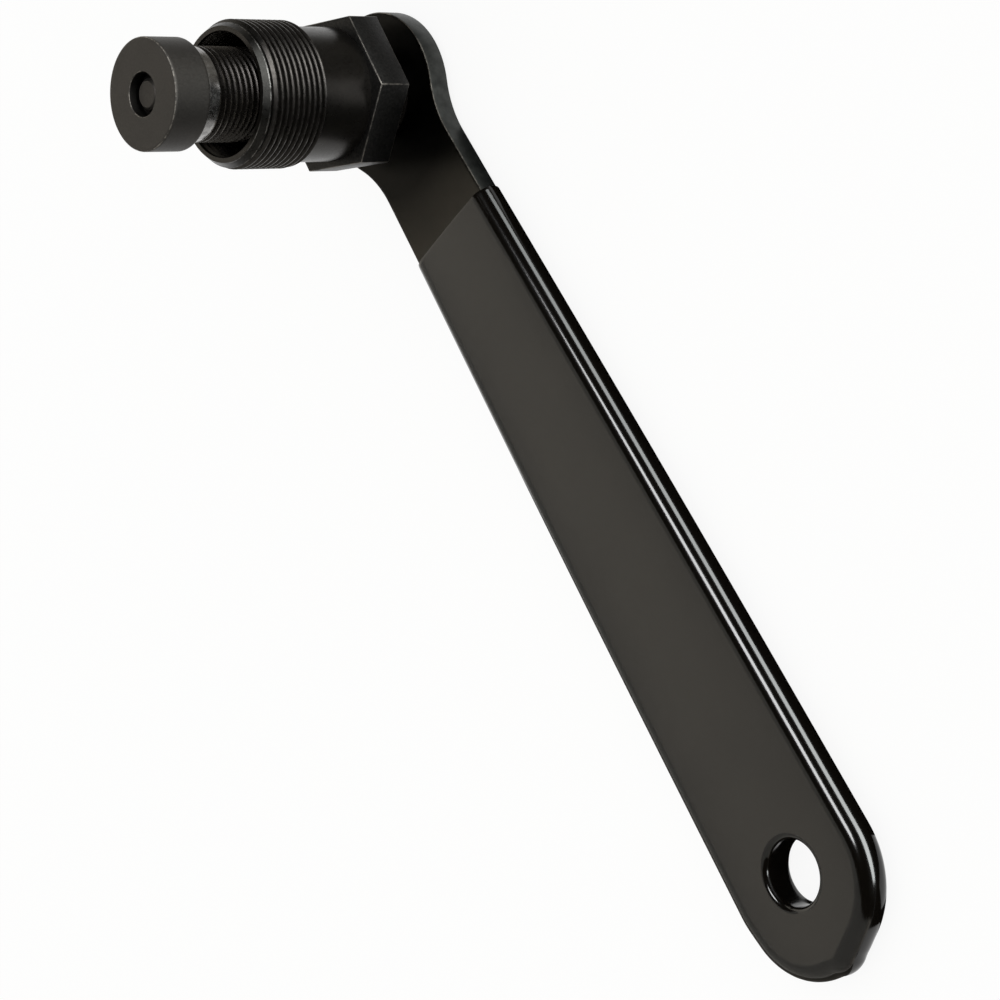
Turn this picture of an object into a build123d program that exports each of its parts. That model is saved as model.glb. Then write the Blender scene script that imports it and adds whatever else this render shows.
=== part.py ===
# Bicycle crank puller: a lever riveted to a forcing screw, which drives a threaded body off a swivel tip.
# Millimetres. The tool lies on its back, spindle axis on +Z, handle along +X, resting plane at z = 0.
import os

from build123d import *

os.makedirs("parts", exist_ok=True)

# Lever: a stamped flat bar
bar_thickness = 3.5
head_diameter = 25.0
root_width = 16.9  # width that the taper would have at the spindle axis
tail_width = 25.4
neck_blend = 15.5  # radius between the round head and the taper
handle_reach = 137.2  # spindle axis to hanging hole
tail_offset = 0.4  # the round tail is struck from beyond the hole
bar_edge_break = 0.3  # chamfer on both rims

# Vinyl coat dipped over the lever
coat = 0.85  # on the flats and in the hole
coat_root = 0.93  # on the sides, as it would be at the spindle axis
coat_tail = 1.0  # on the sides at the tail, thicker as it drains that way
grip_start = 26.0
grip_edge_round = 2.55  # almost a full round: the wet coat pulled itself over the bar's edges
grip_mouth_edge = 0.2  # chamfer where the coat starts
hole_diameter = 8.3  # hanging hole, measured on the coat
hole_lip_round = 1.8
drain_round = 11.75  # the vinyl drained past the tail, a little to one side, as it set
drain_reach = 2.8
drain_side = -1.5
drip_round = 4.5  # the last drop hardened at the end
drip_length = 0.4
drip_side = -0.8
drip_blend = 8.0

# Spindle: M14 x 1 forcing screw
spindle_diameter = 14.0
spindle_length = 37.8  # front of the lever to the back of the tip
spindle_chamfer = 0.5
shank_square = 9.0  # across the flats of the riveted shank
peen_diameter = 13.0
peen_edge = 0.6
nose_diameter = 9.0
stub_diameter = 4.0
stub_head_diameter = 4.6
stub_head_chamfer = 0.4

# Swivel tip
tip_diameter = 16.5
tip_length = 6.2
tip_edge = 0.3
socket_depth = 2.4  # for the spindle's nose, from the back
recess_diameter = 6.5
recess_depth = 2.0
stub_sunk = 0.8  # the stub's end below the tip's face

# Puller body: M22 x 1 outside, M14 x 1 inside
crank_thread_diameter = 22.0
crank_thread_length = 11.2
lead_length = 1.6  # chamfer at the front of the crank thread
lead_depth = 1.0
thread_back_chamfer = 0.25
neck_diameter = 20.2
neck_length = 8.9
neck_corner = 0.25  # left by the turning tool at the hexagon
hex_across_flats = 22.0
hex_thickness = 5.4
hex_edge = 0.15
hex_turn = -3.0  # degrees from the handle's line to a corner
hex_gap = 4.3  # between the lever and the hexagon, as the tool lies
counterbore_diameter = 18.6
counterbore_depth = 10.5
bore_lead = 1.0  # chamfer at the back of the bore

# Fits
running_clearance = 0.05  # radial, spindle in body and in tip
thrust_play = 0.05  # axial, nose and stub in the tip
shoulder_gap = 0.3  # axial, spindle shoulder behind the tip

# Levels along the spindle axis
bar_back = coat
bar_front = bar_back + bar_thickness
grip_thickness = bar_front + coat
hex_back = bar_front + hex_gap
hex_front = hex_back + hex_thickness
thread_back = hex_front + neck_length
body_front = thread_back + crank_thread_length
tip_back = bar_front + spindle_length
tip_front = tip_back + tip_length
shoulder = tip_back - shoulder_gap
socket_floor = tip_back + socket_depth
nose_end = socket_floor - thrust_play
recess_floor = tip_front - recess_depth
stub_head_back = recess_floor + thrust_play
stub_end = tip_front - stub_sunk

# Places along the handle
hole_at = (handle_reach, 0)
tail_at = (handle_reach + tail_offset, 0)
drain_at = (tail_at[0] + drain_reach, drain_side)
drip_at = (drain_at[0] + drain_round + drip_length - drip_round, drip_side)

# Taper of the lever, shared by the bar and its coat
with BuildSketch() as taper:
    Circle(root_width / 2)
    with Locations(tail_at):
        Circle(tail_width / 2)
    make_hull()

with BuildPart() as handle_bar:
    with BuildSketch(Plane.XY.offset(bar_back)):
        add(taper.sketch)
        Circle(head_diameter / 2)
        corners = vertices().filter_by_position(Axis.X, 0, head_diameter / 2, inclusive=(False, True))
        fillet(corners, neck_blend)
    extrude(amount=bar_thickness)
    rims = edges().filter_by(Plane.XY)
    chamfer(rims, bar_edge_break)
    with BuildSketch(Plane.XY.offset(bar_back)):
        Rectangle(shank_square, shank_square)
        with Locations(hole_at):
            Circle(hole_diameter / 2 + coat)
    extrude(amount=bar_thickness, mode=Mode.SUBTRACT)
handle_bar.part.label = "handle_bar"
export_step(handle_bar.part, "parts/handle_bar.step")

with BuildPart() as grip:
    with BuildSketch():
        Circle(root_width / 2 + coat_root)
        with Locations(tail_at):
            Circle(tail_width / 2 + coat_tail)
        with Locations(drain_at):
            Circle(drain_round)
        make_hull()
        with Locations(drip_at):
            Circle(drip_round)
        fillet(vertices().sort_by(Axis.X)[-2:], drip_blend)
        with Locations((grip_start, 0)):
            Rectangle(2 * handle_reach, 2 * tail_width, align=(Align.MIN, Align.CENTER), mode=Mode.INTERSECT)
    extrude(amount=grip_thickness)
    rims = edges().filter_by(Plane.XY).filter_by(lambda e: e.center().X > grip_start + coat)
    fillet(rims, min(grip_edge_round, 0.49 * grip_thickness))
    chamfer(faces().sort_by(Axis.X)[0].edges(), grip_mouth_edge)
    with BuildSketch():
        with Locations(hole_at):
            Circle(hole_diameter / 2)
    extrude(amount=grip_thickness, mode=Mode.SUBTRACT)
    lips = edges().filter_by(GeomType.CIRCLE).filter_by(lambda e: abs(e.radius - hole_diameter / 2) < 1e-6)
    fillet(lips, hole_lip_round)
    add(handle_bar.part, mode=Mode.SUBTRACT)
grip.part.label = "grip"
export_step(grip.part, "parts/grip.step")

with BuildPart() as spindle:
    with BuildSketch(Plane.XZ):
        with BuildLine():
            Polyline(
                (0, bar_front),
                (spindle_diameter / 2, bar_front),
                (spindle_diameter / 2, shoulder - spindle_chamfer),
                (spindle_diameter / 2 - spindle_chamfer, shoulder),
                (nose_diameter / 2, shoulder),
                (nose_diameter / 2, nose_end),
                (stub_diameter / 2, nose_end),
                (stub_diameter / 2, stub_head_back),
                (stub_head_diameter / 2, stub_head_back),
                (stub_head_diameter / 2, stub_end - stub_head_chamfer),
                (stub_head_diameter / 2 - stub_head_chamfer, stub_end),
                (0, stub_end),
                close=True,
            )
        make_face()
    revolve(axis=Axis.Z)
    with BuildSketch(Plane.XY.offset(bar_back)):
        Rectangle(shank_square, shank_square)
    extrude(amount=bar_thickness)
    with BuildSketch():
        Circle(peen_diameter / 2)
    extrude(amount=bar_back)
    chamfer(faces().sort_by(Axis.Z)[0].edges(), min(peen_edge, 0.7 * bar_back))
spindle.part.label = "spindle"
export_step(spindle.part, "parts/spindle.step")

with BuildPart() as puller_body:
    with BuildSketch(Plane.XY.offset(hex_back)):
        RegularPolygon(hex_across_flats / 2, 6, major_radius=False, rotation=hex_turn)
    extrude(amount=hex_thickness)
    chamfer(edges().filter_by(Plane.XY), hex_edge)
    with BuildSketch(Plane.XZ):
        with BuildLine():
            Polyline(
                (0, hex_front),
                (neck_diameter / 2 + neck_corner, hex_front),
                (neck_diameter / 2, hex_front + neck_corner),
                (neck_diameter / 2, thread_back),
                (crank_thread_diameter / 2 - thread_back_chamfer, thread_back),
                (crank_thread_diameter / 2, thread_back + thread_back_chamfer),
                (crank_thread_diameter / 2, body_front - lead_length),
                (crank_thread_diameter / 2 - lead_depth, body_front),
                (0, body_front),
                close=True,
            )
        make_face()
    revolve(axis=Axis.Z)
    bore_diameter = spindle_diameter + 2 * running_clearance
    with BuildSketch(Plane.XZ):
        with BuildLine():
            Polyline(
                (0, hex_back),
                (bore_diameter / 2 + bore_lead, hex_back),
                (bore_diameter / 2, hex_back + bore_lead),
                (bore_diameter / 2, body_front - counterbore_depth),
                (counterbore_diameter / 2, body_front - counterbore_depth),
                (counterbore_diameter / 2, body_front),
                (0, body_front),
                close=True,
            )
        make_face()
    revolve(axis=Axis.Z, mode=Mode.SUBTRACT)
puller_body.part.label = "puller_body"
export_step(puller_body.part, "parts/puller_body.step")

with BuildPart() as swivel_tip:
    with BuildSketch(Plane.XZ):
        with BuildLine():
            Polyline(
                (nose_diameter / 2 + running_clearance, tip_back),
                (tip_diameter / 2 - tip_edge, tip_back),
                (tip_diameter / 2, tip_back + tip_edge),
                (tip_diameter / 2, tip_front - tip_edge),
                (tip_diameter / 2 - tip_edge, tip_front),
                (recess_diameter / 2, tip_front),
                (recess_diameter / 2, recess_floor),
                (stub_diameter / 2 + running_clearance, recess_floor),
                (stub_diameter / 2 + running_clearance, socket_floor),
                (nose_diameter / 2 + running_clearance, socket_floor),
                close=True,
            )
        make_face()
    revolve(axis=Axis.Z)
swivel_tip.part.label = "swivel_tip"
export_step(swivel_tip.part, "parts/swivel_tip.step")
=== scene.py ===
# Bicycle crank puller with a dipped handle: its visible pieces, finishes, light and camera.
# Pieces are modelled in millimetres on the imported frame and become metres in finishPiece.
from math import acos, atan2, cos, degrees, hypot, pi, radians, sin, sqrt

import bmesh
import bpy
from mathutils import Matrix, Quaternion, Vector


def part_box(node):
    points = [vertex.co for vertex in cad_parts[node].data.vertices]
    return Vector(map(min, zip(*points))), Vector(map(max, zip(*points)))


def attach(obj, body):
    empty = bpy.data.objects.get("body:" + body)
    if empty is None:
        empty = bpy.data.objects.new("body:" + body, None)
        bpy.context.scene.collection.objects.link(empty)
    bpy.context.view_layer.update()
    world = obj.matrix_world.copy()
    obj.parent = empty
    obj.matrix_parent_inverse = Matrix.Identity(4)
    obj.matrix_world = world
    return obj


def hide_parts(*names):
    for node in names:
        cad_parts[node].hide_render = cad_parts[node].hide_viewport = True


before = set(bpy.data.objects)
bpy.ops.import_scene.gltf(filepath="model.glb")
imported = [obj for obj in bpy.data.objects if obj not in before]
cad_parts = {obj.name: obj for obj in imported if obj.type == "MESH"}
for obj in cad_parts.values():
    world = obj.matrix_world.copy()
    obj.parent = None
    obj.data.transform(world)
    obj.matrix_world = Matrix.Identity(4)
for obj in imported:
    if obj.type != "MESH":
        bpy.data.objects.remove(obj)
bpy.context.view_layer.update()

mm = 0.001
roundSteps = 96  # around each turned piece
touch = 1e-3  # vertices this near to a place lie on it
weld = 0.002  # vertices nearer than this become one
print("frame loaded:", ", ".join(sorted(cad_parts)))


# Modelling helpers, all in millimetres
def levels(node):
    low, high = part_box(node)
    return low.z / mm, high.z / mm


def polar(centre, radius, angle):
    return centre[0] + radius * cos(angle), centre[1] + radius * sin(angle)


def tangentAngle(first, firstRadius, second, secondRadius):
    # direction of the normal of the straight edge laid against two circles, from the line of their centres
    return acos((firstRadius - secondRadius) / hypot(second[0] - first[0], second[1] - first[1]))


def outlineFace(bm, arcs, height, step=radians(3.75), joint=0.005):
    # each arc is one vertex spun round its centre, and straight edges join the arcs
    ends = []
    for centre, radius, start, sweep in arcs:
        first = last = bm.verts.new((*polar(centre, radius, start), height))
        if sweep:
            spun = bmesh.ops.spin(bm, geom=[first], cent=(*centre, height), axis=(0, 0, 1), angle=sweep,
                                  steps=max(3, round(abs(sweep) / step)))
            last = [v for v in spun["geom_last"] if isinstance(v, bmesh.types.BMVert)][0]
        ends.append((first, last))
    for here, there in zip(ends, ends[1:] + ends[:1]):
        bm.edges.new((here[1], there[0]))
    bmesh.ops.remove_doubles(bm, verts=bm.verts[:], dist=joint)
    return bmesh.ops.edgeloop_fill(bm, edges=bm.edges[:])["faces"][0]


def extrudeUp(bm, face, height):
    made = bmesh.ops.extrude_face_region(bm, geom=[face])["geom"]
    bmesh.ops.translate(bm, vec=(0, 0, height), verts=[v for v in made if isinstance(v, bmesh.types.BMVert)])
    bmesh.ops.recalc_face_normals(bm, faces=bm.faces[:])


def edgesAt(bm, height):
    return [e for e in bm.edges if all(abs(v.co.z - height) < touch for v in e.verts)]


def roundEdges(bm, edges, radius, segments):
    return bmesh.ops.bevel(bm, geom=edges, offset=radius, offset_type="OFFSET", affect="EDGES",
                           segments=segments, profile=0.5, material=-1)["faces"]


def openPlate(bm, height, border):
    # a narrow border keeps the flat side flat up to its rounded edge, and the rest opens for its holes
    flat = [f for f in bm.faces if all(abs(v.co.z - height) < touch for v in f.verts)]
    plate = max(flat, key=lambda f: f.calc_area())
    bmesh.ops.inset_region(bm, faces=[plate], thickness=border, use_even_offset=True)
    bmesh.ops.delete(bm, geom=[plate], context="FACES_ONLY")


def steadyOrder(bm):
    # bevel leaves its elements in another order each run, and the fills would follow it
    for rank, v in enumerate(sorted(bm.verts, key=lambda v: v.co.to_tuple(4))):
        v.index = rank
    bm.verts.sort()
    for parts in (bm.edges, bm.faces):
        for rank, part in enumerate(sorted(parts, key=lambda p: sorted(v.index for v in p.verts))):
            part.index = rank
        parts.sort()


def fillPlate(bm, height):
    steadyOrder(bm)
    rims = [e for e in edgesAt(bm, height) if e.is_boundary]
    bmesh.ops.triangle_fill(bm, use_beauty=True, edges=rims, normal=(0, 0, 1))


def revolve(bm, points, about=(0, 0), closed=False):
    # points are (radius, height) pairs, turned round an upright axis
    verts = [bm.verts.new((about[0] + radius, about[1], height)) for radius, height in points]
    pairs = list(zip(verts, verts[1:])) + ([(verts[-1], verts[0])] if closed else [])
    chain = [bm.edges.new(pair) for pair in pairs]
    bmesh.ops.spin(bm, geom=verts + chain, cent=(*about, 0), axis=(0, 0, 1), angle=2 * pi, steps=roundSteps,
                   use_merge=True)


def cutAcross(bm, place, across, below=False, above=False):
    bmesh.ops.bisect_plane(bm, geom=bm.verts[:] + bm.edges[:] + bm.faces[:], dist=1e-4, plane_co=place,
                           plane_no=across, clear_inner=below, clear_outer=above)


def quarter(centre, radius, start, end, steps=8):
    return [polar(centre, radius, radians(start + (end - start) * k / steps)) for k in range(steps + 1)]


# a sixty-degree thread, in pitches: its depth, and where its flank and crest start and end
threadForm = dict(depth=0.54, flank=0.25, crest=0.5625, crestEnd=0.6875, startBelow=1.5)
rubDepth = 0.02  # faces this near to a crest are rubbed bright


def screwThread(bm, thread, low, high):
    # one turn of the profile, stacked past both ends and cut flat
    pitch = thread["pitch"]
    crest = thread["diameter"] / 2
    root = crest - threadForm["depth"] * pitch
    base = low - threadForm["startBelow"] * pitch
    profile = ((root, 0), (root, threadForm["flank"]), (crest, threadForm["crest"]),
               (crest, threadForm["crestEnd"]), (root, 1))
    verts = [bm.verts.new((radius, 0, base + rise * pitch)) for radius, rise in profile]
    chain = [bm.edges.new(pair) for pair in zip(verts, verts[1:])]
    bmesh.ops.spin(bm, geom=verts + chain, cent=(0, 0, 0), axis=(0, 0, 1), dvec=(0, 0, pitch / roundSteps),
                   angle=2 * pi, steps=roundSteps)
    turn = bm.verts[:] + bm.edges[:] + bm.faces[:]
    for count in range(1, int((high - base) / pitch) + 2):
        copied = bmesh.ops.duplicate(bm, geom=turn)["geom"]
        bmesh.ops.translate(bm, vec=(0, 0, count * pitch),
                            verts=[v for v in copied if isinstance(v, bmesh.types.BMVert)])
    bmesh.ops.remove_doubles(bm, verts=bm.verts[:], dist=weld)
    cutAcross(bm, (0, 0, low), (0, 0, 1), below=True)
    cutAcross(bm, (0, 0, high), (0, 0, 1), above=True)
    worn = bm.faces.layers.float["wear"]
    for face in bm.faces:
        face[worn] = float(all(hypot(v.co.x, v.co.y) > crest - rubDepth for v in face.verts))


def joinRings(bm, low, high):
    loops = [e for height in (low, high) for e in edgesAt(bm, height) if e.is_boundary]
    bmesh.ops.bridge_loops(bm, edges=loops)


def startPiece():
    bm = bmesh.new()
    bm.faces.layers.float.new("wear")  # 1 on edges that handling has rubbed bright
    return bm


wornSlopes = (0.55, 0.85)  # upward share of the normal on the small sloping edges


def markWear(bm):
    # the sloping faces of the small edges, not the walls and flats beside them
    bm.normal_update()
    worn = bm.faces.layers.float["wear"]
    for face in bm.faces:
        if wornSlopes[0] < abs(face.normal.z) < wornSlopes[1]:
            face[worn] = 1


def finishPiece(bm, name, body, node, materials, sharp=40):
    bmesh.ops.remove_doubles(bm, verts=bm.verts[:], dist=weld)
    bmesh.ops.recalc_face_normals(bm, faces=bm.faces[:])
    bmesh.ops.scale(bm, vec=(mm, mm, mm), verts=bm.verts[:])
    openEdges = sum(1 for e in bm.edges if not e.is_manifold)
    mesh = bpy.data.meshes.new(name)
    bm.to_mesh(mesh)
    bm.free()
    mesh.shade_smooth()
    mesh.set_sharp_from_angle(angle=radians(sharp))
    for material in materials:
        mesh.materials.append(material)
    piece = bpy.data.objects.new(name, mesh)
    bpy.context.scene.collection.objects.link(piece)
    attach(piece, body)
    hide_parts(node)
    print(name, "has", len(mesh.polygons), "faces and", openEdges, "open edges")


# Finishes
def linear(hexText):
    parts = [int(hexText[k:k + 2], 16) / 255 for k in (1, 3, 5)]
    return (*[p / 12.92 if p <= 0.04045 else ((p + 0.055) / 1.055) ** 2.4 for p in parts], 1)


def addNode(tree, kind, settings=None, inputs=None):
    node = tree.nodes.new(kind)
    for key, value in (settings or {}).items():
        setattr(node, key, value)
    for socket, value in (inputs or {}).items():
        if isinstance(value, bpy.types.NodeSocket):
            tree.links.new(value, node.inputs[socket])
        else:
            node.inputs[socket].default_value = value
    return node


def startMaterial(name):
    material = bpy.data.materials.new(name)
    material.use_nodes = True
    return material, material.node_tree, material.node_tree.nodes["Principled BSDF"]


# Plastisol vinyl, hot dipped and left to hang: wet-looking black with lazy waves in its reflections
vinylFinish = dict(colour="#0b0907", ior=1.5, roughness=0.12, smudge=14, smudgeSpan=(0.35, 0.7),
                   smudgeHaze=0.04, wave=17, waveHeight=0.03)


def makeVinyl():
    material, tree, shader = startMaterial("dippedVinyl")
    place = addNode(tree, "ShaderNodeTexCoord").outputs["Object"]
    smudge = addNode(tree, "ShaderNodeTexNoise", None,
                     {"Vector": place, "Scale": 1 / (vinylFinish["smudge"] * mm), "Detail": 3})
    gloss = addNode(tree, "ShaderNodeMapRange", None,
                    {"Value": smudge.outputs["Fac"], "From Min": vinylFinish["smudgeSpan"][0],
                     "From Max": vinylFinish["smudgeSpan"][1], "To Min": vinylFinish["roughness"],
                     "To Max": vinylFinish["roughness"] + vinylFinish["smudgeHaze"]})
    wave = addNode(tree, "ShaderNodeTexNoise", None,
                   {"Vector": place, "Scale": 1 / (vinylFinish["wave"] * mm), "Detail": 0})
    bump = addNode(tree, "ShaderNodeBump", None,
                   {"Height": wave.outputs["Fac"], "Distance": vinylFinish["waveHeight"] * mm})
    tree.links.new(gloss.outputs["Result"], shader.inputs["Roughness"])
    tree.links.new(bump.outputs["Normal"], shader.inputs["Normal"])
    shader.inputs["Base Color"].default_value = linear(vinylFinish["colour"])
    shader.inputs["IOR"].default_value = vinylFinish["ior"]
    return material


# all the blackened steels share how dark the painted shade round the screw gets, how sharp chips are, and how
# grain sways the gloss; each finish gives its cutter lines, grain, clouds and chips in millimetres, the
# finest drawn coarser to show
steelSurface = dict(paintedShadeDepth=0.15, chipSpan=0.2, chipRoughness=0.7, grainSpan=(0.3, 0.7),
                    glossSway=(-0.04, 0.06))


def makeBlackSteel(name, finish):
    # oiled black oxide on steel: a dark metal sheen with cutter lines or grain, rubbed to grey on edges
    material, tree, shader = startMaterial(name)
    place = addNode(tree, "ShaderNodeTexCoord").outputs["Object"]
    flat = addNode(tree, "ShaderNodeVectorMath", {"operation": "MULTIPLY"}, {0: place, 1: (1, 1, 0)})
    radius = addNode(tree, "ShaderNodeVectorMath", {"operation": "LENGTH"}, {0: flat.outputs["Vector"]})
    height = addNode(tree, "ShaderNodeSeparateXYZ", None, {"Vector": place})
    along = addNode(tree, "ShaderNodeMath", {"operation": "ADD"},
                    {0: radius.outputs["Value"], 1: height.outputs["Z"]})
    lines = addNode(tree, "ShaderNodeTexNoise", {"noise_dimensions": "1D"},
                    {"W": along.outputs["Value"], "Scale": 1 / (finish["lineWidth"] * mm), "Detail": 4})
    grain = addNode(tree, "ShaderNodeTexNoise", None,
                    {"Vector": place, "Scale": 1 / (finish["grain"] * mm), "Detail": 3})
    cloud = addNode(tree, "ShaderNodeTexNoise", None,
                    {"Vector": place, "Scale": 1 / (finish["cloud"] * mm), "Detail": 4})
    tint = addNode(tree, "ShaderNodeMix", {"data_type": "RGBA"},
                   {0: cloud.outputs["Fac"], 6: linear(finish["dark"]), 7: linear(finish["light"])})
    toneAndPaintedShade = tint.outputs[2]
    if "paintedShadeRadii" in finish:  # painted shade darkens the steel round the screw, fading out between these radii
        fade = addNode(tree, "ShaderNodeMapRange", None,
                       {"Value": radius.outputs["Value"], "From Min": finish["paintedShadeRadii"][0] * mm,
                        "From Max": finish["paintedShadeRadii"][1] * mm, "To Min": steelSurface["paintedShadeDepth"], "To Max": 1})
        toneAndPaintedShade = addNode(tree, "ShaderNodeVectorMath", {"operation": "SCALE"},
                        {0: toneAndPaintedShade, "Scale": fade.outputs["Result"]}).outputs["Vector"]
    wear = addNode(tree, "ShaderNodeAttribute", {"attribute_name": "wear"})
    chips = addNode(tree, "ShaderNodeTexNoise", None,
                    {"Vector": place, "Scale": 1 / (finish["chip"] * mm), "Detail": 5,
                     "Roughness": steelSurface["chipRoughness"]})
    patchy = addNode(tree, "ShaderNodeMapRange", None,
                     {"Value": chips.outputs["Fac"], "From Min": finish["chipFrom"],
                      "From Max": finish["chipFrom"] + steelSurface["chipSpan"]})
    rubbed = addNode(tree, "ShaderNodeMath", {"operation": "MULTIPLY"},
                     {0: wear.outputs["Fac"], 1: patchy.outputs["Result"]})
    colour = addNode(tree, "ShaderNodeMix", {"data_type": "RGBA"},
                     {0: rubbed.outputs["Value"], 6: toneAndPaintedShade, 7: linear(finish["bare"])})
    gloss = addNode(tree, "ShaderNodeMapRange", None,
                    {"Value": grain.outputs["Fac"], "From Min": steelSurface["grainSpan"][0],
                     "From Max": steelSurface["grainSpan"][1],
                     "To Min": finish["roughness"] + steelSurface["glossSway"][0],
                     "To Max": finish["roughness"] + steelSurface["glossSway"][1]})
    lineBump = addNode(tree, "ShaderNodeBump", None,
                       {"Height": lines.outputs["Fac"], "Distance": finish["lineDepth"] * mm})
    grainBump = addNode(tree, "ShaderNodeBump", None,
                        {"Height": grain.outputs["Fac"], "Distance": finish["grainDepth"] * mm,
                         "Normal": lineBump.outputs["Normal"]})
    tree.links.new(colour.outputs[2], shader.inputs["Base Color"])
    tree.links.new(gloss.outputs["Result"], shader.inputs["Roughness"])
    tree.links.new(grainBump.outputs["Normal"], shader.inputs["Normal"])
    shader.inputs["Metallic"].default_value = finish["metallic"]
    return material


# matt pad steel, finely blasted: an even dark grey on the tip and on the stub's end that shows in it
padFinish = dict(dark="#413f3d", light="#4a4744", bare="#8a857e", metallic=1, roughness=0.52,
                 lineWidth=0.4, lineDepth=0.002, grain=0.3, grainDepth=0.003,
                 cloud=5, chip=0.9, chipFrom=0.42)
padSteel = makeBlackSteel("mattPadSteel", padFinish)
vinyl = makeVinyl()
print("shared finishes ready")


# Lever: a stamped bar with a round head, seen bare from the head to the coat
lever = dict(headDiameter=25.0, rootWidth=16.9, tailWidth=25.4, tailAt=137.6, neckBlend=15.5, edgeBreak=0.3,
             edgeSteps=3, border=0.3, shankSquare=9.0, holeAt=137.2, holeDiameter=10.0, holeSteps=64)
# rolled plate: smooth and faintly grained, with painted shade darkest round the screw under the hexagon
plateFinish = dict(dark="#33312d", light="#403d38", bare="#6a6660", metallic=1, roughness=0.32,
                   lineWidth=0.5, lineDepth=0.0, grain=0.35, grainDepth=0.004,
                   cloud=6, chip=3, chipFrom=0.35, paintedShadeRadii=(16, 28))
# sheared sides: torn by the press, so matt and cloudy
shearedFinish = dict(dark="#1f201f", light="#494a48", bare="#6a6660", metallic=1, roughness=0.42,
                     lineWidth=0.5, lineDepth=0.0, grain=0.3, grainDepth=0.01,
                     cloud=1.6, chip=3, chipFrom=0.35)


def makeLever():
    bm = startPiece()
    back, front = levels("handle_bar")
    head = lever["headDiameter"] / 2
    root = lever["rootWidth"] / 2
    tail = lever["tailWidth"] / 2
    blend = lever["neckBlend"]
    tailAt = (lever["tailAt"], 0)
    side = tangentAngle((0, 0), root, tailAt, tail)
    neck = side - acos((root + blend) / (head + blend))
    blendAt = polar((0, 0), head + blend, neck)
    face = outlineFace(bm, [
        (tailAt, tail, -side, 2 * side),
        (blendAt, blend, side + pi, neck - side),
        ((0, 0), head, neck, 2 * pi - 2 * neck),
        ((blendAt[0], -blendAt[1]), blend, -neck - pi, neck - side),
    ], back)
    extrudeUp(bm, face, front - back)
    roundEdges(bm, edgesAt(bm, back) + edgesAt(bm, front), lever["edgeBreak"], lever["edgeSteps"])
    markWear(bm)
    for height in (back, front):
        openPlate(bm, height, lever["border"])
    for count, size, at, turn in ((4, lever["shankSquare"] / sqrt(2), 0, pi / 4),
                                  (lever["holeSteps"], lever["holeDiameter"] / 2, lever["holeAt"], 0)):
        place = Matrix.Translation((at, 0, back)) @ Matrix.Rotation(turn, 4, "Z")
        ring = bmesh.ops.create_circle(bm, segments=count, radius=size, matrix=place)
        edges = list(dict.fromkeys(e for v in ring["verts"] for e in v.link_edges))
        wall = bmesh.ops.extrude_edge_only(bm, edges=edges)["geom"]
        bmesh.ops.translate(bm, vec=(0, 0, front - back),
                            verts=[v for v in wall if isinstance(v, bmesh.types.BMVert)])
    for height in (back, front):
        fillPlate(bm, height)
    bm.normal_update()
    for face in bm.faces:  # the press left the sides matt and torn
        face.material_index = int(abs(face.normal.z) < 0.5)
    finishes = [makeBlackSteel("blackenedPlate", plateFinish), makeBlackSteel("shearedEdge", shearedFinish)]
    finishPiece(bm, "leverBar", "handle", "handle_bar", finishes, sharp=25)


makeLever()


# Grip: a tapered vinyl jacket with almost fully round edges, a lined hanging hole and a drained tail
jacket = dict(start=26.0, rootRadius=9.38, tailAt=137.6, tailRadius=13.69, drainAt=(140.4, -1.5),
              drainRadius=11.75, dripAt=(148.04, -0.8), dripRadius=4.5, dripBlend=8.0, arcStep=1.5,
              edgeRound=2.54, edgeSteps=14, mouthRound=0.06, mouthSteps=3, border=0.35,
              holeAt=137.2, holeDiameter=9.4, frontLip=0.95, backLip=0.8, lipBorder=0.3,
              mouthCuts=(0.5, 1.5), strip=12, strips=8, sideCuts=(-8, -4, 0, 4, 8), crown=0.2, belly=0.3)


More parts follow.
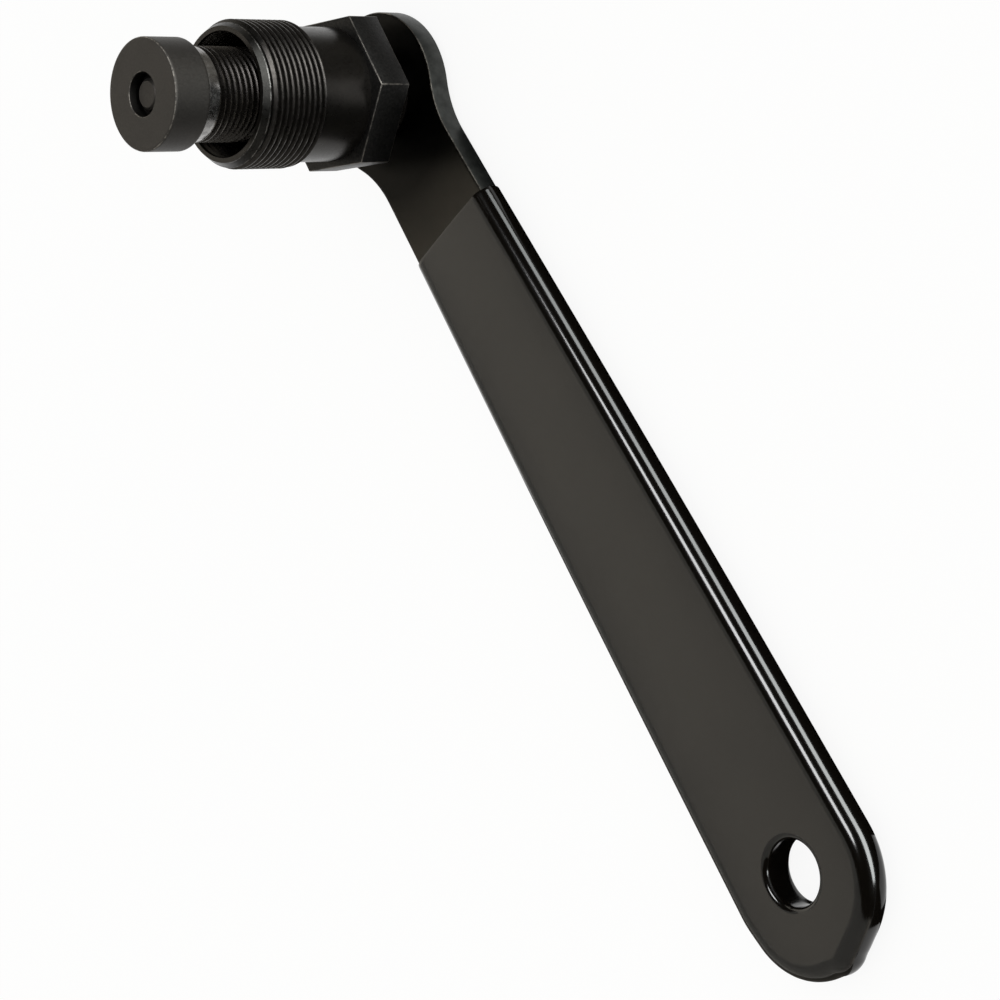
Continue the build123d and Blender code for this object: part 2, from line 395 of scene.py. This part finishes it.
def makeGrip():
    bm = startPiece()
    back, front = levels("grip")
    start = jacket["start"]
    tailAt = (jacket["tailAt"], 0)
    tail, drain, drip = jacket["tailRadius"], jacket["drainRadius"], jacket["dripRadius"]
    drainAt, dripAt, blend = jacket["drainAt"], jacket["dripAt"], jacket["dripBlend"]
    side = tangentAngle((0, 0), jacket["rootRadius"], tailAt, tail)
    mouth = (jacket["rootRadius"] - start * cos(side)) / sin(side)
    lean = atan2(drainAt[1] - tailAt[1], drainAt[0] - tailAt[0])
    spread = tangentAngle(tailAt, tail, drainAt, drain)
    # the drip's two hollow blends touch the drained end and the drop
    reach = hypot(dripAt[0] - drainAt[0], dripAt[1] - drainAt[1])
    aim = atan2(dripAt[1] - drainAt[1], dripAt[0] - drainAt[0])
    opening = acos(((drain + blend) ** 2 + reach ** 2 - (drip + blend) ** 2) / (2 * (drain + blend) * reach))
    lowAt = polar(drainAt, drain + blend, aim - opening)
    highAt = polar(drainAt, drain + blend, aim + opening)
    lowTurn = atan2(lowAt[1] - dripAt[1], lowAt[0] - dripAt[0])
    highTurn = atan2(highAt[1] - dripAt[1], highAt[0] - dripAt[0])
    face = outlineFace(bm, [
        ((start, -mouth), 0, 0, 0),
        (tailAt, tail, -side, lean - spread + side),
        (drainAt, drain, lean - spread, aim - opening - lean + spread),
        (lowAt, blend, aim - opening + pi, lowTurn - aim + opening),
        (dripAt, drip, lowTurn, highTurn - lowTurn),
        (highAt, blend, highTurn + pi, aim + opening - highTurn),
        (drainAt, drain, aim + opening, lean + spread - aim - opening),
        (tailAt, tail, lean + spread, side - lean - spread),
        ((start, mouth), 0, 0, 0),
    ], back, step=radians(jacket["arcStep"]))
    extrudeUp(bm, face, front - back)
    rims = [e for e in edgesAt(bm, back) + edgesAt(bm, front) if any(v.co.x > start + touch for v in e.verts)]
    roundEdges(bm, rims, jacket["edgeRound"], jacket["edgeSteps"])
    lip = [e for e in bm.edges if all(abs(v.co.x - start) < touch for v in e.verts)]
    roundEdges(bm, lip, jacket["mouthRound"], jacket["mouthSteps"])
    for height in (back, front):
        openPlate(bm, height, jacket["border"])
    hole, near, far = jacket["holeDiameter"] / 2, jacket["frontLip"], jacket["backLip"]
    profile = [(hole + near + jacket["lipBorder"], front)]
    profile += quarter((hole + near, front - near), near, 90, 180)
    profile += quarter((hole + far, back + far), far, 180, 270)
    profile += [(hole + far + jacket["lipBorder"], back)]
    revolve(bm, profile, about=(jacket["holeAt"], 0))
    for height in (back, front):
        fillPlate(bm, height)
    # short strips keep the small mouth edge from bending the shading of the whole side
    for x in (*jacket["mouthCuts"], *[k * jacket["strip"] for k in range(1, jacket["strips"] + 1)]):
        cutAcross(bm, (start + x, 0, 0), (1, 0, 0))
    for y in jacket["sideCuts"]:
        cutAcross(bm, (0, y, 0), (0, 1, 0))
    # the wet coat drew in at its edges and hung fuller half way: the flats are crowned and the sides bellied
    middle = (back + front) / 2
    for v in bm.verts:
        along = min(v.co.x / jacket["tailAt"], 1)
        across = v.co.y / (jacket["rootRadius"] + (tail - jacket["rootRadius"]) * along)
        v.co.z -= jacket["crown"] * min(across ** 2, 1) * (v.co.z - middle) / (front - middle)
        bow = sin(pi * (along * jacket["tailAt"] - start) / (jacket["tailAt"] - start))
        v.co.y += jacket["belly"] * across * bow
    finishPiece(bm, "dippedGrip", "handle", "grip", [vinyl])


makeGrip()


# Puller body: hexagon, turned neck, crank thread with a long lead, and a counterbore that the tip draws into
sleeve = dict(hexAcross=22.0, hexThickness=5.4, hexTurn=-33.0, hexEdge=0.14, hexEdgeSteps=2, border=0.3,
              neckDiameter=20.2, neckGap=0.02, threadLength=11.2, leadLength=1.6, leadDepth=1.0, leadRim=0.05,
              backChamfer=0.25, bore=14.1, boreLead=1.0, counterbore=18.6, counterboreDepth=10.5,
              ridges=6, ridgeHeight=0.3, ridgeFoot=0.4)
crankThread = dict(diameter=22.0, pitch=1.0)
# hexagon bar: coarse mill skin under the black, rubbed bright along its edges
hexFinish = dict(dark="#161616", light="#3a3938", bare="#6f6b66", metallic=1, roughness=0.44,
                 lineWidth=0.5, lineDepth=0.0, grain=0.3, grainDepth=0.03,
                 cloud=0.4, chip=2.5, chipFrom=0.4)
# turned neck and thread: fine cutter lines and a satin sheen
turnedFinish = dict(dark="#292726", light="#383633", bare="#6b6967", metallic=0.9, roughness=0.31,
                    lineWidth=0.3, lineDepth=0.002, grain=0.4, grainDepth=0.001,
                    cloud=3, chip=1.5, chipFrom=0.42)
leadShadeFinish = dict(turnedFinish, dark="#1c1b1a", light="#282725")  # the lead drawn darker than the rest of the turning: painted shade that dims its reflection


def makeBody():
    bm = startPiece()
    back, front = levels("puller_body")
    hexFront = back + sleeve["hexThickness"]
    threadBack = front - sleeve["threadLength"]
    crest = crankThread["diameter"] / 2
    neck = sleeve["neckDiameter"] / 2
    screwThread(bm, crankThread, threadBack, front)
    slope = sleeve["leadDepth"] / sleeve["leadLength"]
    for v in bm.verts:  # the lead at the front and the small chamfer at the back trim the crests
        limit = min(crest - slope * (v.co.z - front + sleeve["leadLength"]),
                    crest - sleeve["backChamfer"] + v.co.z - threadBack)
        radius = hypot(v.co.x, v.co.y)
        if radius > limit:
            v.co.xy *= limit / radius
    neckEnd = threadBack - sleeve["neckGap"]
    revolve(bm, [(neck, hexFront), (neck, neckEnd)])
    joinRings(bm, neckEnd, threadBack)
    bore, wide = sleeve["bore"] / 2, sleeve["counterbore"] / 2
    step = front - sleeve["counterboreDepth"]
    lead = sleeve["boreLead"]
    foot = sleeve["ridgeFoot"]
    inside = [(wide, front)]
    for depth in range(1, sleeve["ridges"] + 1):  # the boring tool's ridges catch the light in the mouth
        inside += [(wide, front - depth + foot), (wide - sleeve["ridgeHeight"], front - depth)]
    inside += [(wide, front - sleeve["ridges"] - foot), (wide, step), (bore, step)]
    inside += [(bore, back + lead), (bore + lead, back)]
    revolve(bm, inside)
    fillPlate(bm, front)
    prism = bmesh.new()
    prism.faces.layers.float.new("wear")
    place = Matrix.Translation((0, 0, back)) @ Matrix.Rotation(radians(sleeve["hexTurn"]), 4, "Z")
    bmesh.ops.create_circle(prism, cap_ends=True, segments=6, radius=sleeve["hexAcross"] / sqrt(3),
                            matrix=place)
    extrudeUp(prism, prism.faces[:][0], sleeve["hexThickness"])
    worn = prism.faces.layers.float["wear"]
    for face in roundEdges(prism, prism.edges[:], sleeve["hexEdge"], sleeve["hexEdgeSteps"]):
        face[worn] = 1
    for height in (back, hexFront):
        openPlate(prism, height, sleeve["border"])
    spare = bpy.data.meshes.new("hexagon")
    prism.to_mesh(spare)
    prism.free()
    bm.from_mesh(spare)
    bpy.data.meshes.remove(spare)
    for height in (back, hexFront):
        fillPlate(bm, height)
    leadStart = front - sleeve["leadLength"]
    leadRadius = crest - sleeve["leadDepth"] - sleeve["leadRim"]
    for face in bm.faces:
        middle = face.calc_center_median()
        onLead = middle.z > leadStart and middle.xy.length > leadRadius
        face.material_index = int(middle.z > hexFront + touch) + int(onLead)
    finishes = [makeBlackSteel("blackenedHexagon", hexFinish),
                makeBlackSteel("blackenedTurning", turnedFinish),
                makeBlackSteel("leadPaintedShade", leadShadeFinish)]
    finishPiece(bm, "pullerBody", "puller_body", "puller_body", finishes, sharp=30)


makeBody()


# Spindle: forcing screw with a plain land behind the tip, and the riveted square at the lever
screw = dict(collar=1.0, land=2.3, runout=0.15, shoulderGap=0.3, chamfer=0.5, nose=9.0, noseLength=2.65,
             stub=4.0, stubHead=4.6, stubHeadLength=1.15, stubChamfer=0.4, square=9.0, peenDiameter=13.0,
             peenEdge=0.6)
spindleThread = dict(diameter=14.0, pitch=1.0)
# cut screw thread: dark and wet with oil
screwFinish = dict(dark="#211f1e", light="#322f2d", bare="#66625d", metallic=0.8, roughness=0.28,
                   lineWidth=0.3, lineDepth=0.002, grain=0.4, grainDepth=0.003,
                   cloud=2, chip=1.5, chipFrom=0.4)
# plain land behind the tip: its black rubbed through to bright steel in streaks
landFinish = dict(dark="#343333", light="#d2d0ce", bare="#6f6961", metallic=1, roughness=0.26,
                  lineWidth=0.3, lineDepth=0.002, grain=0.5, grainDepth=0.002,
                  cloud=1.5, chip=0.5, chipFrom=0.4)


def makeSpindle():
    bm = startPiece()
    leverBack, leverFront = levels("handle_bar")
    tipBack = levels("swivel_tip")[0]
    end = levels("spindle")[1]
    radius = spindleThread["diameter"] / 2
    shoulder = tipBack - screw["shoulderGap"]
    noseEnd = shoulder + screw["noseLength"]
    threadStart = leverFront + screw["collar"]
    threadEnd = shoulder - screw["land"]
    screwThread(bm, spindleThread, threadStart, threadEnd)
    runout = screw["runout"]
    revolve(bm, [(0, leverFront), (radius, leverFront), (radius, threadStart - runout)])
    joinRings(bm, threadStart - runout, threadStart)
    stub, stubHead = screw["stub"] / 2, screw["stubHead"] / 2
    headBack = end - screw["stubHeadLength"]
    revolve(bm, [
        (radius, threadEnd + runout),
        (radius, shoulder - screw["chamfer"]),
        (radius - screw["chamfer"], shoulder),
        (screw["nose"] / 2, shoulder),
        (screw["nose"] / 2, noseEnd),
        (stub, noseEnd),
        (stub, headBack),
        (stubHead, headBack),
        (stubHead, end - screw["stubChamfer"]),
        (stubHead - screw["stubChamfer"], end),
        (0, end),
    ])
    joinRings(bm, threadEnd, threadEnd + runout)
    for face in bm.faces:
        middle = face.calc_center_median().z
        face.material_index = int(middle > threadEnd + runout / 2) + int(middle > noseEnd)
    peen = screw["peenDiameter"] / 2
    edge = screw["peenEdge"]
    revolve(bm, [(0, 0), (peen - edge, 0), (peen, edge), (peen, leverBack), (0, leverBack)])
    square = screw["square"]
    middle = Matrix.Translation((0, 0, (leverBack + leverFront) / 2))
    shank = Matrix.Diagonal((square, square, leverFront - leverBack, 1))
    bmesh.ops.create_cube(bm, size=1, matrix=middle @ shank)
    finishes = [makeBlackSteel("oiledScrewSteel", screwFinish),
                makeBlackSteel("rubbedScrewSteel", landFinish),
                padSteel]
    finishPiece(bm, "forcingScrew", "handle", "spindle", finishes, sharp=30)


makeSpindle()


# Swivel tip: a loose turned pad, its recess showing the end of the stub
pad = dict(diameter=16.5, edge=0.3, edgeSteps=3, hold=0.2, socket=9.1, socketDepth=2.4, recess=6.5,
           recessDepth=2.0, stubHole=4.1, recessEdge=0.1)
recessShadeFinish = dict(padFinish, dark="#1d1c1b", light="#2b2928")  # drawn darker than the pad: painted shade in the recess


def makeTip():
    bm = startPiece()
    back, front = levels("swivel_tip")
    outer, recess = pad["diameter"] / 2, pad["recess"] / 2
    socket, hole = pad["socket"] / 2, pad["stubHole"] / 2
    edge, steps, mouth = pad["edge"], pad["edgeSteps"], pad["recessEdge"]
    floor, roof = front - pad["recessDepth"], back + pad["socketDepth"]
    hold = edge + pad["hold"]  # extra rings keep the side and both faces flat up to the rounded edges
    profile = [(socket, back), (outer - hold, back)]
    profile += quarter((outer - edge, back + edge), edge, 270, 360, steps)
    profile += [(outer, back + hold), (outer, front - hold)]
    profile += quarter((outer - edge, front - edge), edge, 0, 90, steps)
    profile += [(outer - hold, front), (recess + mouth, front), (recess, front - mouth), (recess, floor)]
    profile += [(hole, floor), (hole, roof), (socket, roof)]
    revolve(bm, profile, closed=True)
    markWear(bm)
    for face in bm.faces:  # the painted shade in the recess ends at its small bevel
        middle = face.calc_center_median()
        face.material_index = int(middle.xy.length < recess + mouth / 4)
    finishes = [padSteel, makeBlackSteel("recessPaintedShadeSteel", recessShadeFinish)]
    finishPiece(bm, "swivelTip", "swivel_tip", "swivel_tip", finishes, sharp=25)


makeTip()
print("pieces ready")


# Studio: a pale table under an even sky. Strip lamps draw the lines along the grip, and black, grey and pale
# cloths round the tool give its gloss something to mirror. Lamps and cloths show in reflections alone, so the
# light on the tool stays even. Sizes are in metres, places on the table in millimetres.
studio = dict(tableColour="#eff6ff", tableSize=6.0, tableDrop=0.05, tableGlow=0.9, skyColour="#fff8ea",
              skyStrength=1.0, lampAim=(75, 0, 3), lampDistance=0.6, archSteps=24, clothDrop=0.02)
highStrip = dict(shape="ELLIPSE", x=-0.23, rise=71.5, length=0.32, width=0.16, radiance=17, colour="#fdfeff",
                 fade=(1, 1), fadeOver=1)
lowStrip = dict(shape="RECTANGLE", x=0.1, rise=16, length=1.0, width=0.25, radiance=11.5, colour="#f1f5f4",
                fade=(0.6, 1.3), fadeOver=0.42)
# an arch round the handle's line is (near x, far x, far x where it ends, start and end in degrees), and a
# cloth on the table is given by two corners
blackCloth = dict(name="blackCloth", colour="#101010", radius=0.8,
                  arches=((-1.5, 6, 1.1, 0, 88), (-1.5, 1.1, 0.3, 88, 100), (-1.5, 0.3, -0.05, 100, 115)),
                  cloths=((13, 9, 25, 16), (25, -3.9, 139, 40), (45, 40, 139, 800), (139, -3.9, 150, 9),
                          (150, 6.5, 400, 15), (139, 15, 400, 800)),
                  flag=((20, 11.4, 5.5), (152, 15.2, 5.5), (152, 35.2, 29.5), (3, 31.4, 29.5)))
paleCloth = dict(name="paleCloth", colour="#c6c6c6", radius=0.82,
                 arches=((-0.4, 6, 6, 136.8, 179), (0.01, 6, 6, 127.5, 136.8), (-1.5, 6, 6, 60, 127.5)),
                 cloths=(), flag=())
greyCloth = dict(name="greyCloth", colour="#6e6e6e", radius=0.8, arches=(),
                 cloths=((-300, 16, 10, 800), (10, 40, 45, 800)), flag=())
dimCloth = dict(name="dimCloth", colour="#5f5f5f", radius=0.8, arches=(),
                cloths=((60, -400, 260, -5),), flag=())


def plainMaterial(name, colour):
    material, tree, shader = startMaterial(name)
    shader.inputs["Base Color"].default_value = linear(colour)
    shader.inputs["Roughness"].default_value = 1
    shader.inputs["Specular IOR Level"].default_value = 0
    return material, tree, shader


def makeTableMaterial():
    # white paper: most of its brightness is its own, for camera and mirrors alike, the rest takes the shadow
    material, tree, shader = plainMaterial("whitePaper", studio["tableColour"])
    rays = addNode(tree, "ShaderNodeLightPath").outputs
    seen = addNode(tree, "ShaderNodeMath", {"operation": "ADD"},
                   {0: rays["Is Camera Ray"], 1: rays["Is Glossy Ray"]})
    seen = addNode(tree, "ShaderNodeMath", {"operation": "ADD", "use_clamp": True},
                   {0: seen.outputs["Value"], 1: rays["Is Transmission Ray"]})
    share = addNode(tree, "ShaderNodeMath", {"operation": "MULTIPLY"},
                    {0: seen.outputs["Value"], 1: studio["tableGlow"]})
    glow = addNode(tree, "ShaderNodeEmission", None, {"Color": (1, 1, 1, 1), "Strength": 1})
    paper = addNode(tree, "ShaderNodeMixShader", None,
                    {0: share.outputs["Value"], 1: shader.outputs["BSDF"], 2: glow.outputs["Emission"]})
    tree.links.new(paper.outputs["Shader"], tree.nodes["Material Output"].inputs["Surface"])
    return material


def stageObject(bm, name, material):
    mesh = bpy.data.meshes.new(name)
    bm.to_mesh(mesh)
    bm.free()
    mesh.materials.append(material)
    thing = bpy.data.objects.new(name, mesh)
    bpy.context.scene.collection.objects.link(thing)
    return thing


def onlyReflected(thing):
    thing.visible_camera = False
    thing.visible_diffuse = False
    thing.visible_shadow = False


def addLamp(name, strip):
    # x is the lamp's lean along the handle, rise its height in degrees above the table on the +Y side, and
    # fade its strength at one end and past fadeOver of its length
    side = sqrt(1 - strip["x"] ** 2)
    toward = Vector((strip["x"], side * cos(radians(strip["rise"])), side * sin(radians(strip["rise"]))))
    across = (Vector((1, 0, 0)) - toward * toward.x).normalized()
    area = strip["length"] * strip["width"] * (pi / 4 if strip["shape"] == "ELLIPSE" else 1)
    data = bpy.data.lights.new(name, "AREA")
    data.shape = strip["shape"]
    data.size = strip["length"]
    data.size_y = strip["width"]
    data.energy = pi * area * strip["radiance"]
    data.color = linear(strip["colour"])[:3]
    data.use_nodes = True
    tree = data.node_tree
    along = addNode(tree, "ShaderNodeSeparateXYZ", None,
                    {"Vector": addNode(tree, "ShaderNodeNewGeometry").outputs["Parametric"]})
    power = addNode(tree, "ShaderNodeMapRange", None,
                    {"Value": along.outputs["X"], "From Max": strip["fadeOver"],
                     "To Min": strip["fade"][0], "To Max": strip["fade"][1]})
    tree.links.new(power.outputs["Result"], tree.nodes["Emission"].inputs["Strength"])
    lamp = bpy.data.objects.new(name, data)
    place = Matrix.Translation(Vector(studio["lampAim"]) * mm + toward * studio["lampDistance"])
    lamp.matrix_world = place @ Matrix((across, toward.cross(across), toward)).transposed().to_4x4()
    onlyReflected(lamp)
    bpy.context.scene.collection.objects.link(lamp)


def hangCloth(cloth):
    bm = bmesh.new()
    for near, far, slanted, start, end in cloth["arches"]:
        foot = polar((0, 0), cloth["radius"], radians(start))
        close = bm.verts.new((near, *foot))
        distant = bm.verts.new((far, *foot))
        rod = bm.edges.new((close, distant))
        bmesh.ops.spin(bm, geom=[close, distant, rod], cent=(0, 0, 0), axis=(1, 0, 0),
                       angle=radians(end - start), steps=studio["archSteps"])
        for v in bm.verts:  # the far end slants
            if abs(v.co.x - far) < touch * mm:
                share = (degrees(atan2(v.co.z, v.co.y)) - start) / (end - start)
                v.co.x += (slanted - far) * share
    for fromX, fromY, toX, toY in cloth["cloths"]:
        middle = Vector(((fromX + toX) / 2, (fromY + toY) / 2, -studio["clothDrop"])) * mm
        place = Matrix.Translation(middle) @ Matrix.Diagonal((toX - fromX, toY - fromY, 1, 1))
        bmesh.ops.create_grid(bm, x_segments=1, y_segments=1, size=mm / 2, matrix=place)
    if cloth["flag"]:  # shades the grip's side from the low strip, so that only the rounded edge mirrors it
        bm.faces.new([bm.verts.new(Vector(corner) * mm) for corner in cloth["flag"]])
    onlyReflected(stageObject(bm, cloth["name"], plainMaterial(cloth["name"], cloth["colour"])[0]))


def makeStudio():
    table = bmesh.new()
    bmesh.ops.create_grid(table, x_segments=1, y_segments=1, size=studio["tableSize"] / 2,
                          matrix=Matrix.Translation((0, 0, -studio["tableDrop"] * mm)))
    stageObject(table, "paleTable", makeTableMaterial())
    for cloth in (blackCloth, paleCloth, greyCloth, dimCloth):
        hangCloth(cloth)
    addLamp("highStrip", highStrip)
    addLamp("lowStrip", lowStrip)
    world = bpy.data.worlds.new("paleSky")
    world.use_nodes = True
    sky = world.node_tree.nodes["Background"]
    sky.inputs["Color"].default_value = linear(studio["skyColour"])
    sky.inputs["Strength"].default_value = studio["skyStrength"]
    bpy.context.scene.world = world


makeStudio()


# Camera: fitted to the photograph's outlines
shot = dict(place=(224.783, 267.199, 293.807), lookAt=(62.632, -19.409, 1.980), roll=-96.97, lens=105.21,
            sensor=36, clipStart=0.01)


def makeCamera():
    data = bpy.data.cameras.new("photoCamera")
    data.lens = shot["lens"]
    data.sensor_width = shot["sensor"]
    data.clip_start = shot["clipStart"]
    camera = bpy.data.objects.new("photoCamera", data)
    place = Vector(shot["place"]) * mm
    camera.location = place
    view = (Vector(shot["lookAt"]) * mm - place).to_track_quat("-Z", "Y")
    camera.rotation_mode = "QUATERNION"
    camera.rotation_quaternion = view @ Quaternion((0, 0, 1), radians(shot["roll"]))
    bpy.context.scene.collection.objects.link(camera)
    bpy.context.scene.camera = camera


makeCamera()
bpy.context.scene.view_settings.view_transform = "Standard"
print("scene ready")
